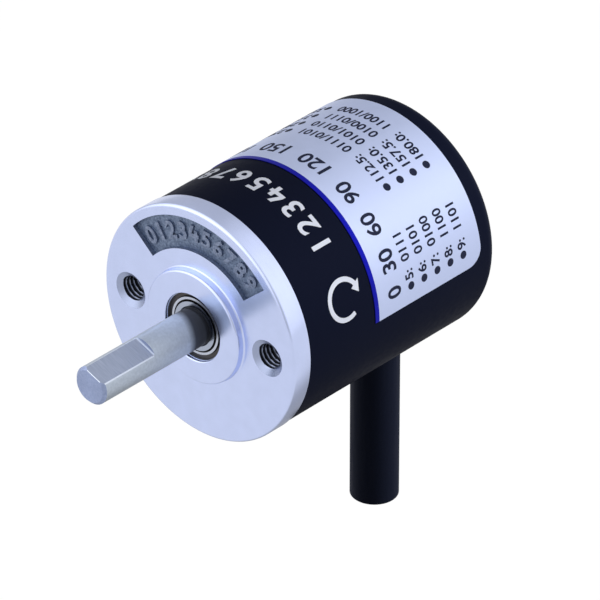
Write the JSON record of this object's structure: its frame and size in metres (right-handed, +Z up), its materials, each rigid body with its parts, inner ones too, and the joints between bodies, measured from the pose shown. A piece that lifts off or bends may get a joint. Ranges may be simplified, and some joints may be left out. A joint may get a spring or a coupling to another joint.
{
  "type": "rotary encoder",
  "caption": "Round incremental rotary encoder with a D-cut shaft in ball bearings, a flanged face with tapped holes, a slotted disc read by a lamp and detector, and a side cable.",
  "frame": {"origin": "on the shaft axis, in the front face of the flange, at the centre of the mounting holes", "axes": "-Y along the shaft towards its free end, +Z up, opposite the cable, +X towards one mounting hole"},
  "size_m": [0.025, 0.0446, 0.0445],
  "materials": {
    "flange_aluminium": "fine turned, clear anodised",
    "cover_lacquer": "satin black lacquer",
    "label_film": "printed polyester film",
    "seal_rubber": "moulded",
    "shaft_steel": "ground stainless steel",
    "spring_steel": "oiled spring steel",
    "bearing_steel": "polished bearing steel",
    "shield_steel": "pressed sheet",
    "hub_brass": "turned",
    "disc_steel": "etched sheet",
    "black_moulding": "moulded",
    "lamp_resin": "cast resin",
    "board_laminate": "green solder mask",
    "capacitor_ceramic": "fired ceramic",
    "socket_nylon": "moulded nylon",
    "cable_pvc": "extruded",
    "braid_copper": "tinned copper braid",
    "wire_red": "extruded",
    "wire_black": "extruded",
    "wire_white": "extruded",
    "wire_green": "extruded",
    "wire_yellow": "extruded",
    "wire_white_black": "extruded with a black stripe",
    "wire_green_black": "extruded with a black stripe",
    "wire_yellow_black": "extruded with a black stripe"
  },
  "bodies": {
    "stator": {"front_flange": "flange_aluminium", "housing_cover": "cover_lacquer", "nameplate_label": "label_film", "cover_seal_ring": "seal_rubber", "preload_wave_washer": "spring_steel", "bearing_snap_ring": "spring_steel", "front_bearing_outer_ring": "bearing_steel", "front_bearing_shields": "shield_steel", "rear_bearing_outer_ring": "bearing_steel", "rear_bearing_shields": "shield_steel", "lamp_holder": "black_moulding", "emitter_lamp": "lamp_resin", "mask_plate": "disc_steel", "light_detector": "black_moulding", "board_standoffs": "hub_brass", "circuit_board": "board_laminate", "board_screws": "bearing_steel", "line_driver_chip": "black_moulding", "chip_capacitors": "capacitor_ceramic", "wire_socket": "socket_nylon", "wire_plug": "socket_nylon", "cable_jacket": "cable_pvc", "cable_shield": "braid_copper", "cable_ferrule": "hub_brass", "wire_red": "wire_red", "wire_black": "wire_black", "wire_white": "wire_white", "wire_green": "wire_green", "wire_yellow": "wire_yellow", "wire_white_black": "wire_white_black", "wire_green_black": "wire_green_black", "wire_yellow_black": "wire_yellow_black"},
    "rotor": {"shaft": "shaft_steel", "shaft_retaining_rings": "spring_steel", "front_bearing_inner_ring": "bearing_steel", "rear_bearing_inner_ring": "bearing_steel", "disc_hub": "hub_brass", "hub_set_screw": "shaft_steel", "code_disc": "disc_steel", "disc_clamp_ring": "hub_brass"},
    "front_ball_set": {"front_bearing_balls": "bearing_steel", "front_bearing_cage": "hub_brass"},
    "rear_ball_set": {"rear_bearing_balls": "bearing_steel", "rear_bearing_cage": "hub_brass"}
  },
  "joints": [
    {"name": "shaft_spin", "type": "hinge", "parent": "stator", "child": "rotor", "pos_m": [0, 0, 0], "axis": [0, -1, 0], "continuous": true},
    {"name": "front_balls_orbit", "type": "hinge", "parent": "stator", "child": "front_ball_set", "pos_m": [0, 0, 0], "axis": [0, -1, 0], "continuous": true},
    {"name": "rear_balls_orbit", "type": "hinge", "parent": "stator", "child": "rear_ball_set", "pos_m": [0, 0, 0], "axis": [0, -1, 0], "continuous": true}
  ],
  "couplings": [
    {"joint": "front_balls_orbit", "follows": "shaft_spin", "ratio": 0.4},
    {"joint": "rear_balls_orbit", "follows": "shaft_spin", "ratio": 0.4}
  ]
}
